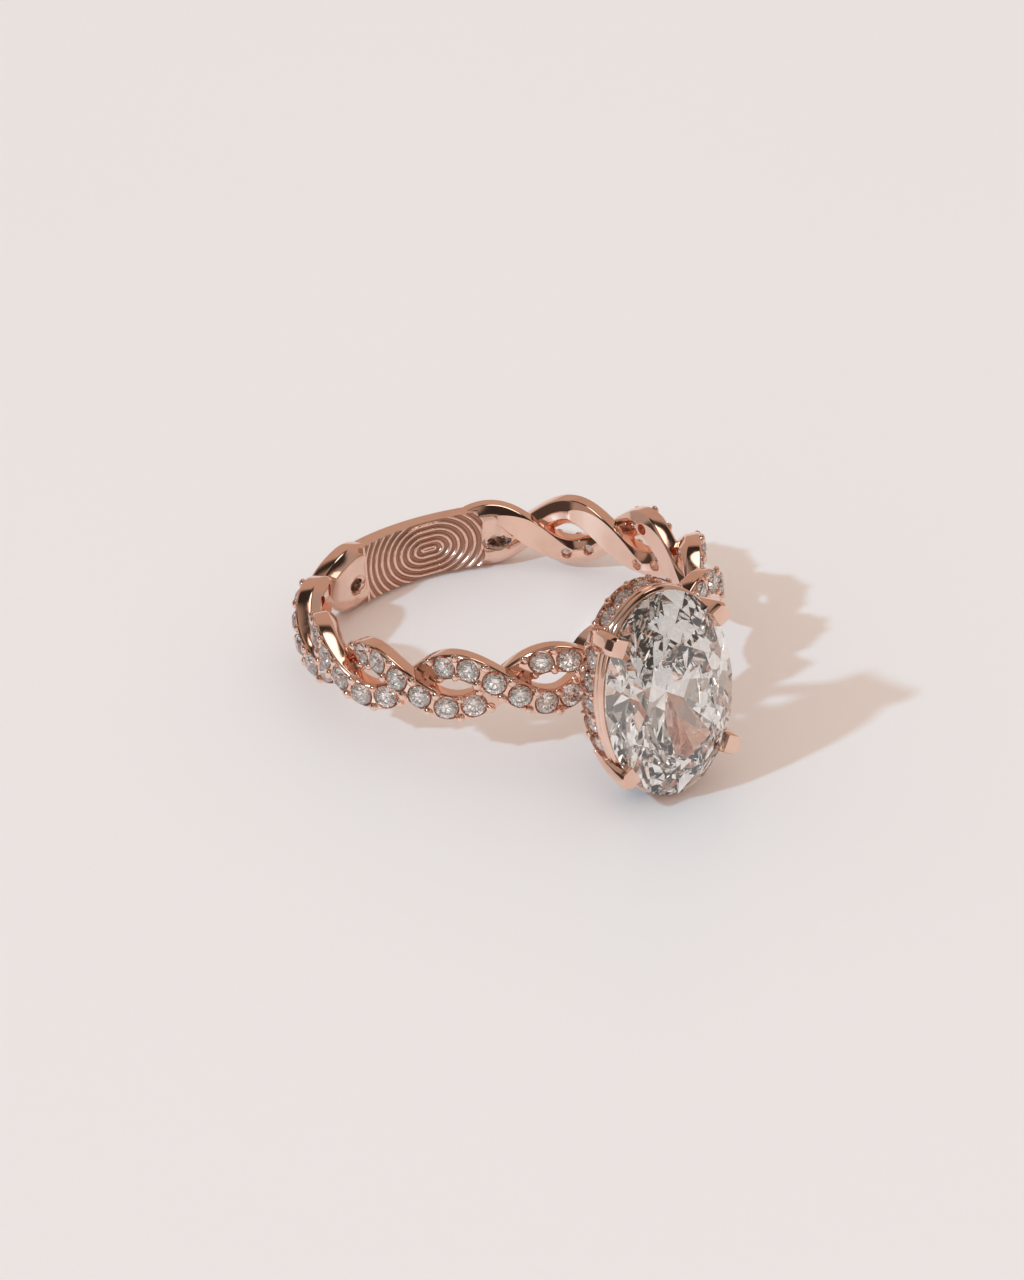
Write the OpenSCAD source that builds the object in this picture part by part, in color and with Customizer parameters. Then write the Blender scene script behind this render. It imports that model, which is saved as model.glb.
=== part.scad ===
// Twisted shank ring with an oval stone, lying on its side.
// Drawn in the ring's own frame first: the finger hole round Z, the head along +X.
// Then the whole ring is tipped to the angle at which it rests on a flat surface.

/* [Finger hole] */
// Inside diameter
finger_d = 16.5; // [14:0.1:21]

/* [Twist] */
// Overall width of the two twisted strands
twist_w = 3.24; // [2.8:0.02:4.2]
// Width of one strand
strand_w = 1.25; // [1.15:0.05:1.5]
// Thickness of a strand, from the finger outwards
strand_t = 1.15; // [1:0.05:1.6]
// How far a strand rises where it passes over the other
strand_lift = 0.4; // [0.2:0.05:0.6]
// Bevel along the inner edges of a strand
inner_bevel = 0.29; // [0.1:0.01:0.35]
// Bevel along the outer edges of a strand
outer_bevel = 0.1; // [0.05:0.01:0.2]
// Angle from the head to the first opening between the strands
first_eye = 18.1; // [14:0.1:20]
// Angle from one opening to the next
eye_step = 27.3; // [24:0.1:27.5]

/* [Solid back] */
// Width of the solid back
back_w = 2.7; // [2:0.1:3.2]
// Thickness of the solid back
back_t = 1.2; // [1.1:0.05:1.8]
// Angle that the solid back takes on each side of its middle
back_half = 22.5; // [18:0.5:26]
// Overall width of the two strands where they run into the solid back
tail_w = 3.05; // [2.8:0.05:3.3]
// Thickness of the web that closes the last opening
web_t = 0.4; // [0.3:0.05:0.5]

/* [Main stone] */
// Length of the oval stone
stone_l = 9.7; // [8:0.1:12]
// Width of the oval stone
stone_w = 6.6; // [5.5:0.1:8]
// Height of the stone's girdle above the finger hole
girdle_rise = 5.4; // [5:0.1:7]
// Gap between a stone and its metal seat
seat_gap = 0.03; // [0.02:0.01:0.05]

/* [Basket] */
// Height of the polished rail under the girdle
rail_h = 0.5; // [0.3:0.05:0.8]
// Thickness of the rail
rail_t = 0.6; // [0.4:0.05:0.8]
// Height of the band that holds the halo stones
band_h = 1.2; // [1.15:0.05:1.6]
// Thickness of that band
band_t = 0.7; // [0.5:0.05:1]
// Width of a claw
claw_w = 1; // [0.8:0.05:1.4]
// Depth of a claw, from the stone outwards
claw_d = 0.95; // [0.7:0.05:1.2]
// How far the claws rise above the girdle
claw_rise = 0.55; // [0.4:0.05:0.9]
// Angle of the claws round the oval, from the finger's cross direction
claw_turn = 38.4; // [30:0.1:45]
// Width of the base that joins the basket to the shank
base_d = 3.2; // [2.8:0.1:4]

/* [Small stones] */
// Diameter of the stones on the shank
shank_stone_d = 1.04; // [0.9:0.02:1.06]
// Spacing of the stones along a strand
shank_pitch = 1.17; // [1.16:0.01:1.3]
// Diameter of the halo stones
halo_stone_d = 1; // [0.8:0.02:1]
// Diameter of the drilled hole behind a small stone
azure_d = 0.54; // [0.3:0.02:0.6]

/* [Hidden] */
gold = [0.86, 0.62, 0.52];
clear = [0.9, 0.92, 0.93, 0.6];

finger_r = finger_d / 2;
swing = (twist_w - strand_w) / 2;
strand_r = finger_r + strand_t / 2;
samples = 12;
tail_swing = (tail_w - strand_w) / 2;
last_eye = first_eye + 5 * eye_step;
into_back = 2;
back_bevel = 2 * outer_bevel;
seat_sides = 8;
// Depth by which a solid reaches into the finger hole before the hole is bored
bore_cut = 0.3;

// Proportions of a round brilliant, as shares of its radius
table_share = 0.57;
kite_share = 0.8;
lower_share = 0.26;
crown_share = 0.31;
pavilion_share = 0.86;
girdle_share = 0.05;

girdle_x = finger_r + girdle_rise;
rail_drop = 0.45;
rail_x = girdle_x - rail_drop - rail_h / 2;
rail_into_band = 0.05;
band_x = rail_x - (rail_h + band_h) / 2 + rail_into_band;
band_grow = 0.05;
rail_grow = 0.1;
halo_sink = 0.2;
seat_mouth = 0.5;
base_flare = 0.5;
base_rise = 0.9;

// Small stones on the shank: each run of six is centred where its strand passes outside the other
run_offsets = [-2.5, -1.5, -0.5, 0.5, 1.5, 2.5];
head_offsets = [1.5, 2.5];
stones_per_arc = 5;

// How the ring rests: on the lowest point of the head, and on the solid back or the loop beside it
rest_backs = [
    [back_bevel - finger_r - back_t, -back_w / 2],
    [(finger_r + strand_t - outer_bevel) * cos(last_eye), -tail_w / 2],
    [(finger_r + strand_t - outer_bevel) * cos(last_eye - eye_step), -twist_w / 2]
];
rest_heads = [
    [band_x - band_h / 2, -stone_l / 2 - band_grow],
    [rail_x - rail_h / 2, -stone_l / 2 - rail_grow],
    [girdle_x, -stone_l / 2]
];
tilt = min([for (b = rest_backs) max([for (h = rest_heads) atan((b.y - h.y) / (h.x - b.x))])]);
floor_z = min([for (p = concat(rest_backs, rest_heads)) p.x * sin(tilt) + p.y * cos(tilt)]);
crown_rise = stone_w / 2 * crown_share;
reach_front = max(
    (girdle_x + claw_rise) * cos(tilt) + stone_l / 2 * sin(claw_turn) * sin(tilt),
    (girdle_x + crown_rise) * cos(tilt) + stone_l / 2 * table_share * sin(tilt)
);
reach_back = (finger_r + back_t) * cos(tilt) + (back_w / 2 - back_bevel) * sin(tilt);
middle_x = (reach_front - reach_back) / 2;

function unit(v) = v / norm(v);
function smooth(t) = let (s = min(max(t, 0), 1)) s * s * (3 - 2 * s);

// Faces of a tube of n rings with m points each
function tube_faces(n, m, closed) = [
    for (i = [0 : n - (closed ? 1 : 2)], j = [0 : m - 1])
        let (k = (i + 1) % n, l = (j + 1) % m)
            each [[i * m + j, i * m + l, k * m + l], [i * m + j, k * m + l, k * m + j]],
    if (!closed) [for (j = [m - 1 : -1 : 0]) j],
    if (!closed) [for (j = [0 : m - 1]) (n - 1) * m + j]
];

module tube(rings, closed = false) {
    m = len(rings[0]);
    polyhedron([for (r = rings) each r], tube_faces(len(rings), m, closed), convexity = 8);
}

// Middle line of a strand: side is 1 for one strand and -1 for the other
function lift_at(a) = strand_lift * (1 - smooth((a - last_eye + eye_step / 2) / (eye_step / 2)));
function swing_at(a) = swing + (tail_swing - swing) * smooth((a - last_eye + eye_step) / eye_step);
function strand_point(a, side) =
    let (turn = 180 * (a - first_eye) / eye_step, r = strand_r + side * lift_at(a) * sin(turn))
        [r * cos(a), r * sin(a), side * swing_at(a) * cos(turn)];

// Directions of a strand: along it, across its set face, and out from the finger
function strand_axes(a, side) =
    let (
        along = unit(strand_point(a + 0.5, side) - strand_point(a - 0.5, side)),
        radial = [cos(a), sin(a), 0],
        out = unit(radial - (radial * along) * along)
    ) [along, cross(out, along), out];

function strand_section() =
    let (w = strand_w / 2, t = strand_t / 2, i = inner_bevel, o = outer_bevel) [
        [-w + o, t], [w - o, t], [w, t - o], [w, -t + i],
        [w - i, -t], [-w + i, -t], [-w, -t + i], [-w, t - o]
    ];

function strand_ring(a, side) =
    let (p = strand_point(a, side), d = strand_axes(a, side))
        [for (q = strand_section()) p + q.x * d[1] + q.y * d[2]];

// Length along a strand against angle, for even spacing of the stones
function run_length(side, a, upto, sum = 0) =
    a >= upto ? [[a, sum]]
    : concat([[a, sum]], run_length(side, a + 1, upto,
        sum + norm(strand_point(a + 1, side) - strand_point(a, side))));
length_by_angle = [for (side = [1, -1]) run_length(side, 0, 170)];
angle_by_length = [for (t = length_by_angle) [for (p = t) [p[1], p[0]]]];
function stone_angle(side, middle, steps) =
    let (k = side > 0 ? 0 : 1)
        lookup(lookup(middle, length_by_angle[k]) + steps * shank_pitch, angle_by_length[k]);

// [side, angle] of every stone on one half of the shank
half_stones = [
    for (s = head_offsets) [-1, stone_angle(-1, first_eye - eye_step / 2, s)],
    for (k = [0 : 3], s = run_offsets)
        let (side = k % 2 == 0 ? 1 : -1) [side, stone_angle(side, first_eye + (k + 0.5) * eye_step, s)]
];

// A second copy turned half a turn about the head's axis gives the other half of the shank
module both_halves() {
    children();
    rotate([180, 0, 0]) children();
}

// Sets its children on the outer face of a strand, with their Z out from the finger
module on_strand(side, a) {
    p = strand_point(a, side);
    d = strand_axes(a, side);
    o = p + d[2] * strand_t / 2;
    multmatrix([
        [d[0].x, d[1].x, d[2].x, o.x],
        [d[0].y, d[1].y, d[2].y, o.y],
        [d[0].z, d[1].z, d[2].z, o.z]
    ]) rotate(180 / seat_sides) children();
}

module strand(side) {
    last = 5 * samples + into_back;
    first = -floor(first_eye / (eye_step / samples));
    tube([for (i = [first : last]) strand_ring(first_eye + i * eye_step / samples, side)]);
}

module back() {
    w = back_w / 2;
    o = back_bevel;
    start = 180 - back_half;
    rotate([0, 0, start]) rotate_extrude(angle = 2 * back_half, $fn = 96)
        translate([finger_r, 0]) polygon([
            [-bore_cut, -w], [back_t - o, -w], [back_t, -w + o],
            [back_t, w - o], [back_t - o, w], [-bore_cut, w]
        ]);
    // Web that closes the last opening on its outer side
    web_start = last_eye - eye_step / 4;
    both_halves() rotate([0, 0, web_start])
        rotate_extrude(angle = start + into_back - web_start, $fn = 96)
            translate([finger_r + strand_t - inner_bevel - web_t, -tail_swing])
                square([web_t, 2 * tail_swing]);
}

// Tapered hole under a small stone, from its girdle to the drilled hole at the back
module seat(d, depth) {
    translate([0, 0, -depth])
        cylinder(d1 = azure_d, d2 = d + 2 * seat_gap, h = depth, $fn = seat_sides);
    cylinder(d = d + 2 * seat_gap, h = seat_mouth, $fn = seat_sides);
}

// Small round brilliant: a table, eight crown facets and eight pavilion facets, girdle at z = 0
module small_stone(d) {
    r = d / 2;
    ring = [for (i = [0 : seat_sides - 1]) [cos(i * 360 / seat_sides), sin(i * 360 / seat_sides)]];
    points = concat(
        [for (p = ring) [r * table_share * p.x, r * table_share * p.y, r * crown_share]],
        [for (p = ring) [r * p.x, r * p.y, 0]],
        [[0, 0, -r * pavilion_share]]
    );
    n = seat_sides;
    polyhedron(points, concat(
        [[for (j = [n - 1 : -1 : 0]) j]],
        [for (j = [0 : n - 1]) [j, (j + 1) % n, n + (j + 1) % n, n + j]],
        [for (j = [0 : n - 1]) [n + j, n + (j + 1) % n, 2 * n]]
    ));
}

// Point on the oval that is grown by g from the stone's girdle, at height x along the head
function oval(a, g, x) = [x, (stone_w / 2 + g) * cos(a), (stone_l / 2 + g) * sin(a)];
function oval_out(a) = unit([0, cos(a) / stone_w, sin(a) / stone_l]);

oval_steps = 60;
function oval_ring(a, g, x, h, t) =
    let (p = oval(a, g, x), n = oval_out(a), up = [h / 2, 0, 0])
        [p + up, p + up - t * n, p - up - t * n, p - up];

module oval_band(g, x, h, t)
    tube([for (i = [0 : oval_steps - 1]) oval_ring(i * 360 / oval_steps, g, x, h, t)], true);

// Claw as [height, outward share of the oval, width share, depth share]. The height is 0 at the
// base and 1 at the girdle, and the rest is a share of the rise above it.
claw_sections = [
    [0, 0.3, 0.8, 0.8],
    [0.35, 0.62, 0.9, 0.9],
    [0.62, 0.93, 1, 1],
    [1, 1.04, 1, 1],
    [1.7, 1.05, 0.92, 0.9],
    [2, 1.045, 0.8, 0.75]
];

module claw(sy, sz) {
    base_x = finger_r + strand_t / 2;
    rise = girdle_x - base_x;
    inner_share = 0.5;
    ridge_share = 0.55;
    n0 = oval_out(claw_turn);
    n = [0, sy * n0.y, sz * n0.z];
    side = cross(n, [1, 0, 0]);
    p0 = oval(claw_turn, 0, 0);
    tube([for (s = claw_sections)
        let (
            x = base_x + rise * min(s[0], 1) + claw_rise * max(s[0] - 1, 0),
            c = [x, sy * p0.y * s[1], sz * p0.z * s[1]],
            w = claw_w / 2 * s[2],
            d = claw_d / 2 * s[3]
        ) [c - w * side - d * n, c - w * side + d * inner_share * n, c - w * ridge_share * side + d * n,
           c + w * ridge_share * side + d * n, c + w * side + d * inner_share * n, c + w * side - d * n]
    ]);
}

module base() {
    translate([finger_r - bore_cut, 0, 0]) rotate([0, 90, 0])
        cylinder(d1 = base_d + base_flare, d2 = base_d, h = strand_t + base_rise, $fn = 32);
}

// Angles of the halo stones: five between each pair of claws, evenly spaced along the oval
function oval_length(a, upto, sum = 0) =
    a >= upto ? [[a, sum]]
    : concat([[a, sum]], oval_length(a + 2, upto, sum + norm(oval(a + 2, 0, 0) - oval(a, 0, 0))));
oval_by_angle = oval_length(-180, 180);
oval_by_length = [for (p = oval_by_angle) [p[1], p[0]]];
function halo_arc(from, to) =
    let (
        l0 = lookup(from, oval_by_angle) + claw_w / 2,
        l1 = lookup(to, oval_by_angle) - claw_w / 2
    ) [for (i = [0 : stones_per_arc - 1])
        lookup(l0 + (l1 - l0) * (i + 0.5) / stones_per_arc, oval_by_length)];
halo_angles = concat(
    halo_arc(-claw_turn, claw_turn),
    halo_arc(claw_turn, 180 - claw_turn),
    [for (a = halo_arc(-claw_turn, claw_turn)) a + 180],
    [for (a = halo_arc(claw_turn, 180 - claw_turn)) a + 180]
);

// Sets its children in the outer face of the band, with their Z out from the oval
module on_band(a) {
    n = oval_out(a);
    o = oval(a, band_grow, band_x) - halo_sink * n;
    multmatrix([[1, 0, 0, o.x], [0, n.z, n.y, o.y], [0, -n.y, n.z, o.z]])
        rotate(180 / seat_sides) children();
}

// Crown and pavilion of the oval brilliant, girdle top at height 0, grown by g for its seat
module brilliant(g) {
    ry = stone_w / 2 + g;
    rz = stone_l / 2 + g;
    h = stone_w / 2;
    crown = crown_share * h;
    kite_h = crown * (1 - kite_share * cos(22.5)) / (1 - table_share);
    depth = pavilion_share * h;
    lower_h = depth * (1 - lower_share * cos(22.5));
    thick = girdle_share * h;
    function at(a, share, x) = [x, ry * share * cos(a), rz * share * sin(a)];
    points = concat(
        [for (k = [0 : 7]) at(45 * k, table_share, crown + g)],
        [for (k = [0 : 7]) at(45 * k + 22.5, kite_share, kite_h + g)],
        [for (k = [0 : 15]) at(22.5 * k, 1, g)],
        [for (k = [0 : 15]) at(22.5 * k, 1, -thick - g)],
        [for (k = [0 : 7]) at(45 * k + 22.5, lower_share, -thick - lower_h - g)],
        [[-thick - depth - g, 0, 0]]
    );
    polyhedron(points, concat(
        [[for (k = [7 : -1 : 0]) k]],
        [for (k = [0 : 7]) [k, (k + 1) % 8, 8 + k]],
        [for (k = [0 : 7]) [k, 8 + k, 16 + 2 * k, 8 + (k + 7) % 8]],
        [for (k = [0 : 7]) each [
            [8 + k, 17 + 2 * k, 16 + 2 * k],
            [8 + k, 16 + (2 * k + 2) % 16, 17 + 2 * k]
        ]],
        [for (k = [0 : 15]) [16 + k, 16 + (k + 1) % 16, 32 + (k + 1) % 16, 32 + k]],
        [for (k = [0 : 7]) each [
            [48 + k, 32 + 2 * k, 33 + 2 * k],
            [48 + k, 33 + 2 * k, 32 + (2 * k + 2) % 16]
        ]],
        [for (k = [0 : 7]) [56, 48 + (k + 7) % 8, 32 + 2 * k, 48 + k]]
    ));
}

// Tips the ring to its resting angle and stands it on the floor
module at_rest() {
    translate([-middle_x, 0, -floor_z]) rotate([0, -tilt, 0]) children();
}

module ring_metal() color(gold) at_rest() difference() {
    union() {
        both_halves() {
            strand(1);
            strand(-1);
        }
        back();
        base();
        oval_band(rail_grow, rail_x, rail_h, rail_t);
        oval_band(band_grow, band_x, band_h, band_t);
        for (sy = [-1, 1], sz = [-1, 1]) claw(sy, sz);
    }
    cylinder(r = finger_r, h = 3 * twist_w, center = true, $fn = 128);
    translate([girdle_x, 0, 0]) brilliant(seat_gap);
    both_halves() for (s = half_stones) on_strand(s[0], s[1]) seat(shank_stone_d, strand_t + 0.2);
    for (a = halo_angles) on_band(a) seat(halo_stone_d, band_t);
}

module main_stone() color(clear) at_rest() translate([girdle_x, 0, 0]) brilliant(0);

module shank_stones() color(clear) at_rest()
    both_halves() for (s = half_stones) on_strand(s[0], s[1]) small_stone(shank_stone_d);

module halo_stones() color(clear) at_rest()
    for (a = halo_angles) on_band(a) small_stone(halo_stone_d);

ring_metal();
main_stone();
shank_stones();
halo_stones();
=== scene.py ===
"""Looks of the twisted shank ring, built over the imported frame.

Shapes are made in millimetres in the ring's own frame: the finger hole round Z, the head along +X.
Each finished piece is then tipped to the resting angle and scaled to metres, which is the row's frame.
"""
import logging
import math
from dataclasses import dataclass, field
from enum import Enum, IntEnum
from typing import Iterable, Iterator, Mapping, Sequence

import bmesh
import bpy
from bmesh.types import BMEdge, BMesh, BMVert
from mathutils import Matrix, Vector, noise


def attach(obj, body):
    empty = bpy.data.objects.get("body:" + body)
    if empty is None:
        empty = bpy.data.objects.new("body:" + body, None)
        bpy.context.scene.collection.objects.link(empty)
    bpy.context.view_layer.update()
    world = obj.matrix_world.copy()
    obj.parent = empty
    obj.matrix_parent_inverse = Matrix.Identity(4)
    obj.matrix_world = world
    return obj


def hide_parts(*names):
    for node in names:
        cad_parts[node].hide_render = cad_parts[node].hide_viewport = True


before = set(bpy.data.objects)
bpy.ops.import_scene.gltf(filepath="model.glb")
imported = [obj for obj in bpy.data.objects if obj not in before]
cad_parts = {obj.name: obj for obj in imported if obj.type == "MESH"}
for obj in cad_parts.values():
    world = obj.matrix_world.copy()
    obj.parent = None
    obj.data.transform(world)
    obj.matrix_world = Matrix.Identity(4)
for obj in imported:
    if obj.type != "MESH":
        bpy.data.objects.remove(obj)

log = logging.getLogger("ring")

# One millimetre in metres
MM = 0.001
# Vertices nearer than this, in millimetres, are one
MERGE = 1e-5

Point = tuple[float, float]
Triple = tuple[float, float, float]
Colour = Triple
Socket = bpy.types.NodeSocket
Wires = Mapping[str | int, Socket]
Values = Mapping[str | int, float | Sequence[float]]


# Sizes


@dataclass(frozen=True)
class Sizes:
    """Named sizes in millimetres and degrees, the same as in the part's source."""

    finger_r: float = 8.25
    twist_w: float = 3.24
    tail_w: float = 3.05
    strand_w: float = 1.25
    strand_t: float = 1.15
    strand_lift: float = 0.4
    inner_bevel: float = 0.29
    outer_bevel: float = 0.1
    first_eye: float = 18.1
    eye_step: float = 27.3
    back_w: float = 2.7
    back_t: float = 1.2
    back_half: float = 22.5
    stone_l: float = 9.7
    stone_w: float = 6.6
    girdle_x: float = 13.65
    seat_gap: float = 0.03
    rail_h: float = 0.5
    rail_drop: float = 0.45
    rail_grow: float = 0.1
    rail_t: float = 0.6
    rail_into_band: float = 0.05
    band_h: float = 1.2
    band_t: float = 0.7
    band_grow: float = 0.05
    claw_w: float = 1.0
    claw_d: float = 0.95
    claw_rise: float = 0.55
    claw_turn: float = 38.4
    base_d: float = 3.2
    base_flare: float = 0.5
    base_rise: float = 0.9
    bore_cut: float = 0.3
    shank_stone_d: float = 1.04
    shank_pitch: float = 1.17
    halo_stone_d: float = 1.0
    azure_d: float = 0.54
    tilt: float = 9.6015
    middle_x: float = 2.70956
    floor_z: float = -2.90488

    @property
    def rail_x(self) -> float:
        """Height of the rail's middle along the head."""
        return self.girdle_x - self.rail_drop - self.rail_h / 2

    @property
    def band_x(self) -> float:
        """Height of the halo band's middle along the head."""
        return self.rail_x - (self.rail_h + self.band_h) / 2 + self.rail_into_band

    @property
    def last_eye(self) -> float:
        """Angle of the last opening, which the web closes."""
        return self.first_eye + 5 * self.eye_step

    def to_row(self) -> Matrix:
        """Returns the matrix from the ring's own frame in millimetres to the row's frame in metres."""
        tip = Matrix.Rotation(-math.radians(self.tilt), 4, "Y")
        return Matrix.Scale(MM, 4) @ Matrix.Translation((-self.middle_x, 0, -self.floor_z)) @ tip


SIZES = Sizes()


class Half(Enum):
    """The two halves of the shank: the second is the first turned half a turn about the head's axis."""

    FIRST = 0
    SECOND = 1

    def matrix(self) -> Matrix:
        """Returns the matrix that takes the first half to this one."""
        return Matrix.Rotation(math.pi * self.value, 4, "X")


class Operation(Enum):
    """How two solids are combined."""

    JOIN = "UNION"
    CUT = "DIFFERENCE"


class Finish(IntEnum):
    """Material slots of the metal."""

    POLISHED = 0
    ENGRAVED = 1
    CAST = 2


# Mesh helpers


def smooth_step(t: float) -> float:
    """Eases from 0 to 1.

    Args:
        t: Position, taken as 0 below 0 and as 1 above 1.

    Returns:
        The eased value.
    """
    s = min(max(t, 0.0), 1.0)
    return s * s * (3 - 2 * s)


def matrix_of(x: Vector, y: Vector, z: Vector, origin: Vector) -> Matrix:
    """Makes a matrix of its columns.

    Args:
        x: Image of the X axis.
        y: Image of the Y axis.
        z: Image of the Z axis.
        origin: Image of the origin.

    Returns:
        The 4x4 matrix.
    """
    m = Matrix((x, y, z)).transposed().to_4x4()
    m.translation = origin
    return m


def rounded(corners: Sequence[Point], radius: float, steps: int = 3, most: float = 0.45) -> list[Point]:
    """Rounds the corners of a polygon.

    Args:
        corners: Corners in order.
        radius: Length cut off each side of a corner.
        steps: Number of segments in each rounding.
        most: Largest share of a side that a corner takes.

    Returns:
        The points of the rounded polygon.
    """
    out: list[Point] = []
    for i, c in enumerate(corners):
        here = Vector(c)
        before = Vector(corners[i - 1]) - here
        after = Vector(corners[(i + 1) % len(corners)]) - here
        cut = min(radius, before.length * most, after.length * most)
        a, b = here + before.normalized() * cut, here + after.normalized() * cut
        for k in range(steps + 1):
            t = k / steps
            p = a * (1 - t) ** 2 + here * 2 * t * (1 - t) + b * t**2
            out.append((p.x, p.y))
    return out


def close_solid(bm: BMesh) -> BMesh:
    """Caps every open loop of a mesh and turns its normals outwards.

    Args:
        bm: Mesh that is changed.

    Returns:
        The same mesh.
    """
    edges = [e for e in bm.edges if e.is_boundary]
    if edges:
        bmesh.ops.holes_fill(bm, edges=edges)
    bmesh.ops.recalc_face_normals(bm, faces=bm.faces)
    if bm.calc_volume(signed=True) < 0:
        bmesh.ops.reverse_faces(bm, faces=bm.faces)
    return bm


def sweep(section: Sequence[Point], places: Sequence[Matrix], closed: bool = False) -> BMesh:
    """Extrudes a section from place to place.

    Args:
        section: Points in the Y and Z of each place.
        places: One matrix per station.
        closed: Whether the last station joins the first.

    Returns:
        A closed solid.
    """
    bm = bmesh.new()
    ring = [bm.verts.new(places[0] @ Vector((0, y, z))) for y, z in section]
    first = [bm.edges.new((ring[i - 1], ring[i])) for i in range(len(ring))]
    edges = first
    for before, now in zip(places, places[1:]):
        made = bmesh.ops.extrude_edge_only(bm, edges=edges)["geom"]
        verts = {g for g in made if isinstance(g, BMVert)}
        edges = [g for g in made if isinstance(g, BMEdge) and all(v in verts for v in g.verts)]
        bmesh.ops.transform(bm, matrix=now @ before.inverted(), verts=list(verts))
    if closed:
        bmesh.ops.bridge_loops(bm, edges=first + edges)
    return close_solid(bm)


def spun(profile: Sequence[Point], start: float, angle: float, steps: int) -> BMesh:
    """Turns a profile about Z.

    Args:
        profile: Points as distance from the axis and height.
        start: Angle at which it starts, in degrees.
        angle: Angle that it turns through, in degrees.
        steps: Number of steps.

    Returns:
        A closed solid.
    """
    bm = bmesh.new()
    turn = Matrix.Rotation(math.radians(start), 3, "Z")
    ring = [bm.verts.new(turn @ Vector((r, 0, z))) for r, z in profile]
    edges = [bm.edges.new((ring[i - 1], ring[i])) for i in range(len(ring))]
    bmesh.ops.spin(bm, geom=ring + edges, axis=(0, 0, 1), angle=math.radians(angle), steps=steps)
    return close_solid(bm)


def turned(profile: Sequence[Point], sides: int) -> BMesh:
    """Turns an open profile that starts and ends on the Z axis through a full turn.

    Args:
        profile: Points as distance from the axis and height.
        sides: Number of sides.

    Returns:
        A closed solid with merged poles.
    """
    bm = bmesh.new()
    verts = [bm.verts.new((r, 0, z)) for r, z in profile]
    edges = [bm.edges.new(pair) for pair in zip(verts, verts[1:])]
    bmesh.ops.spin(bm, geom=verts + edges, axis=(0, 0, 1), angle=math.tau, steps=sides, use_merge=True)
    bmesh.ops.remove_doubles(bm, verts=bm.verts, dist=MERGE)
    return close_solid(bm)


def merged(parts: Iterable[BMesh]) -> BMesh:
    """Puts several meshes into one, as separate shells, and frees them.

    Args:
        parts: Meshes.

    Returns:
        The whole mesh.
    """
    whole = bmesh.new()
    for part in parts:
        mesh = bpy.data.meshes.new("part")
        part.to_mesh(mesh)
        part.free()
        whole.from_mesh(mesh)
        bpy.data.meshes.remove(mesh)
    return whole


def copies(part: BMesh, places: Iterable[Matrix]) -> BMesh:
    """Copies a mesh to each place, and frees it.

    Args:
        part: Mesh that is copied.
        places: One matrix for each copy.

    Returns:
        One mesh with all the copies.
    """
    mesh = bpy.data.meshes.new("copy")
    part.to_mesh(mesh)
    part.free()
    whole = bmesh.new()
    for place in places:
        before = set(whole.verts)
        whole.from_mesh(mesh)
        bmesh.ops.transform(whole, matrix=place, verts=[v for v in whole.verts if v not in before])
    bpy.data.meshes.remove(mesh)
    return whole


def to_object(bm: BMesh, name: str) -> bpy.types.Object:
    """Makes an object of a mesh, in the scene's collection, and frees the mesh.

    Args:
        bm: Mesh.
        name: Name of the object.

    Returns:
        The object.
    """
    mesh = bpy.data.meshes.new(name)
    bm.to_mesh(mesh)
    bm.free()
    thing = bpy.data.objects.new(name, mesh)
    bpy.context.scene.collection.objects.link(thing)
    return thing


def combine(base: bpy.types.Object, part: BMesh, operation: Operation) -> None:
    """Joins a solid to a base or cuts it out, applies that and frees the solid.

    Args:
        base: Object that is changed.
        part: Closed solid.
        operation: Join or cut.
    """
    tool = to_object(part, "tool")
    modifier = base.modifiers.new("combine", "BOOLEAN")
    modifier.solver = "MANIFOLD"
    modifier.operation = operation.value
    modifier.object = tool
    graph = bpy.context.evaluated_depsgraph_get()
    mesh = bpy.data.meshes.new_from_object(base.evaluated_get(graph))
    base.modifiers.clear()
    old, waste = base.data, tool.data
    base.data = mesh
    bpy.data.objects.remove(tool)
    for unused in (old, waste):
        bpy.data.meshes.remove(unused)


def finish_piece(
    thing: bpy.types.Object, materials: Sequence[bpy.types.Material], sharp: float | None
) -> bpy.types.Object:
    """Moves a piece to the row's frame and gives it its materials and shading.

    Args:
        thing: Object whose mesh is in millimetres in the ring's own frame.
        materials: Materials in the order of the faces' indices.
        sharp: Angle above which an edge is sharp, in degrees, or None for flat facets.

    Returns:
        The same object.
    """
    mesh = thing.data
    mesh.transform(SIZES.to_row())
    for material in materials:
        mesh.materials.append(material)
    if sharp is None:
        mesh.shade_flat()
    else:
        mesh.shade_smooth()
        mesh.set_sharp_from_angle(angle=math.radians(sharp))
    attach(thing, "root")
    return thing


# Shank


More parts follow.
